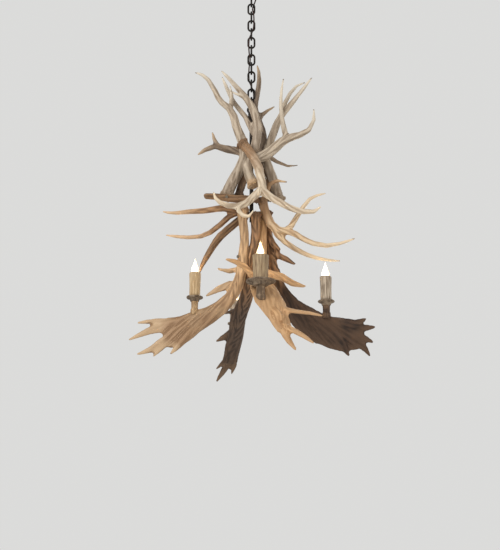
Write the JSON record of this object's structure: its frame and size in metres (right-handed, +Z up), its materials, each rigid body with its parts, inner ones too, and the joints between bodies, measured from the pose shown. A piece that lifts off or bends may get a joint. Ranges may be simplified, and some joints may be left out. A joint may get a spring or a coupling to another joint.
{
  "type": "antler chandelier",
  "caption": "Chandelier of interlocking forked and palmate antlers hung from a chain, with candle-style lamps standing on the palms.",
  "frame": {"origin": "middle of the canopy's rim, on the ceiling", "axes": "+Z up towards the ceiling along the chain, +X to the right as pictured, +Y away from the viewer"},
  "size_m": [0.7742, 0.6993, 1.3765],
  "materials": {
    "weathered_antler": "matte",
    "warm_antler": "satin",
    "palm_antler": "satin",
    "dark_palm_antler": "satin",
    "black_iron": "satin",
    "cord": "matte",
    "steel_screws": "satin",
    "candle_base": "matte",
    "candle_sleeve": "satin",
    "lampholder": "matte",
    "bulb_base": "satin",
    "bulb_glass": "gloss"
  },
  "bodies": {
    "ceiling": {"canopy": "black_iron", "ceiling_loop": "black_iron", "canopy_nut": "black_iron", "supply_cord": "cord"},
    "chain_link_01": {"chain_link_01": "black_iron"},
    "chain_link_02": {"chain_link_02": "black_iron"},
    "chain_link_03": {"chain_link_03": "black_iron"},
    "chain_link_04": {"chain_link_04": "black_iron"},
    "chain_link_05": {"chain_link_05": "black_iron"},
    "chain_link_06": {"chain_link_06": "black_iron"},
    "chain_link_07": {"chain_link_07": "black_iron"},
    "chain_link_08": {"chain_link_08": "black_iron"},
    "chain_link_09": {"chain_link_09": "black_iron"},
    "chain_link_10": {"chain_link_10": "black_iron"},
    "chain_link_11": {"chain_link_11": "black_iron"},
    "chain_link_12": {"chain_link_12": "black_iron"},
    "chain_link_13": {"chain_link_13": "black_iron"},
    "chandelier": {"antler_screws": "steel_screws", "center_rod": "black_iron", "fallow_antler_back": "dark_palm_antler", "fallow_antler_front": "palm_antler", "fallow_antler_left": "palm_antler", "fallow_antler_right": "dark_palm_antler", "hanging_eye": "black_iron", "lampholder_back": "lampholder", "lampholder_front": "lampholder", "lampholder_left": "lampholder", "lampholder_right": "lampholder", "rod_lock_nut": "black_iron", "saucer_back": "candle_base", "saucer_front": "candle_base", "saucer_left": "candle_base", "saucer_right": "candle_base", "sleeve_back": "candle_sleeve", "sleeve_front": "candle_sleeve", "sleeve_left": "candle_sleeve", "sleeve_right": "candle_sleeve", "stag_antler_back": "weathered_antler", "stag_antler_center": "weathered_antler", "stag_antler_fork": "weathered_antler", "stag_antler_front": "warm_antler", "stag_antler_hook": "weathered_antler", "stag_antler_left": "weathered_antler", "stag_antler_right": "weathered_antler", "stag_antler_spike": "warm_antler", "stag_antler_stub": "warm_antler", "stag_antler_sweep": "warm_antler", "stag_antler_wing": "warm_antler", "stem_back": "candle_base", "stem_front": "candle_base", "stem_left": "candle_base", "stem_right": "candle_base"},
    "bulb_left": {"bulb_base_left": "bulb_base", "bulb_glass_left": "bulb_glass"},
    "bulb_front": {"bulb_base_front": "bulb_base", "bulb_glass_front": "bulb_glass"},
    "bulb_right": {"bulb_base_right": "bulb_base", "bulb_glass_right": "bulb_glass"},
    "bulb_back": {"bulb_base_back": "bulb_base", "bulb_glass_back": "bulb_glass"}
  },
  "joints": [
    {"name": "chain_swing_01", "type": "hinge", "parent": "ceiling", "child": "chain_link_01", "pos_m": [0, 0, -0.06817], "axis": [1, 0, 0], "range_deg": [-8, 8], "deforming": ["supply_cord"]},
    {"name": "chain_swing_02", "type": "hinge", "parent": "chain_link_01", "child": "chain_link_02", "pos_m": [0, 0, -0.10062], "axis": [0, 1, 0], "range_deg": [-8, 8], "deforming": ["supply_cord"]},
    {"name": "chain_swing_03", "type": "hinge", "parent": "chain_link_02", "child": "chain_link_03", "pos_m": [0, 0, -0.13332], "axis": [1, 0, 0], "range_deg": [-8, 8], "deforming": ["supply_cord"]},
    {"name": "chain_swing_04", "type": "hinge", "parent": "chain_link_03", "child": "chain_link_04", "pos_m": [0, 0, -0.16602], "axis": [0, 1, 0], "range_deg": [-8, 8], "deforming": ["supply_cord"]},
    {"name": "chain_swing_05", "type": "hinge", "parent": "chain_link_04", "child": "chain_link_05", "pos_m": [0, 0, -0.19872], "axis": [1, 0, 0], "range_deg": [-8, 8], "deforming": ["supply_cord"]},
    {"name": "chain_swing_06", "type": "hinge", "parent": "chain_link_05", "child": "chain_link_06", "pos_m": [0, 0, -0.23142], "axis": [0, 1, 0], "range_deg": [-8, 8], "deforming": ["supply_cord"]},
    {"name": "chain_swing_07", "type": "hinge", "parent": "chain_link_06", "child": "chain_link_07", "pos_m": [0, 0, -0.26412], "axis": [1, 0, 0], "range_deg": [-8, 8], "deforming": ["supply_cord"]},
    {"name": "chain_swing_08", "type": "hinge", "parent": "chain_link_07", "child": "chain_link_08", "pos_m": [0, 0, -0.29682], "axis": [0, 1, 0], "range_deg": [-8, 8], "deforming": ["supply_cord"]},
    {"name": "chain_swing_09", "type": "hinge", "parent": "chain_link_08", "child": "chain_link_09", "pos_m": [0, 0, -0.32952], "axis": [1, 0, 0], "range_deg": [-8, 8], "deforming": ["supply_cord"]},
    {"name": "chain_swing_10", "type": "hinge", "parent": "chain_link_09", "child": "chain_link_10", "pos_m": [0, 0, -0.36222], "axis": [0, 1, 0], "range_deg": [-8, 8], "deforming": ["supply_cord"]},
    {"name": "chain_swing_11", "type": "hinge", "parent": "chain_link_10", "child": "chain_link_11", "pos_m": [0, 0, -0.39492], "axis": [1, 0, 0], "range_deg": [-8, 8], "deforming": ["supply_cord"]},
    {"name": "chain_swing_12", "type": "hinge", "parent": "chain_link_11", "child": "chain_link_12", "pos_m": [0, 0, -0.42762], "axis": [0, 1, 0], "range_deg": [-8, 8], "deforming": ["supply_cord"]},
    {"name": "chain_swing_13", "type": "hinge", "parent": "chain_link_12", "child": "chain_link_13", "pos_m": [0, 0, -0.46032], "axis": [1, 0, 0], "range_deg": [-8, 8], "deforming": ["supply_cord"]},
    {"name": "eye_swing", "type": "hinge", "parent": "chain_link_13", "child": "chandelier", "pos_m": [0, 0, -0.49302], "axis": [0, 1, 0], "range_deg": [-8, 8], "deforming": ["supply_cord"]},
    {"name": "bulb_turn_left", "type": "hinge", "parent": "chandelier", "child": "bulb_left", "pos_m": [-0.18, -0.006, -1.06997], "axis": [0, 0, 1], "range_deg": [0, 1080]},
    {"name": "bulb_turn_front", "type": "hinge", "parent": "chandelier", "child": "bulb_front", "pos_m": [0.027, -0.183, -1.06597], "axis": [0, 0, 1], "range_deg": [0, 1080]},
    {"name": "bulb_turn_right", "type": "hinge", "parent": "chandelier", "child": "bulb_right", "pos_m": [0.236, -0.014, -1.08497], "axis": [0, 0, 1], "range_deg": [0, 1080]},
    {"name": "bulb_turn_back", "type": "hinge", "parent": "chandelier", "child": "bulb_back", "pos_m": [-0.056, 0.292, -1.08597], "axis": [0, 0, 1], "range_deg": [0, 1080]}
  ]
}
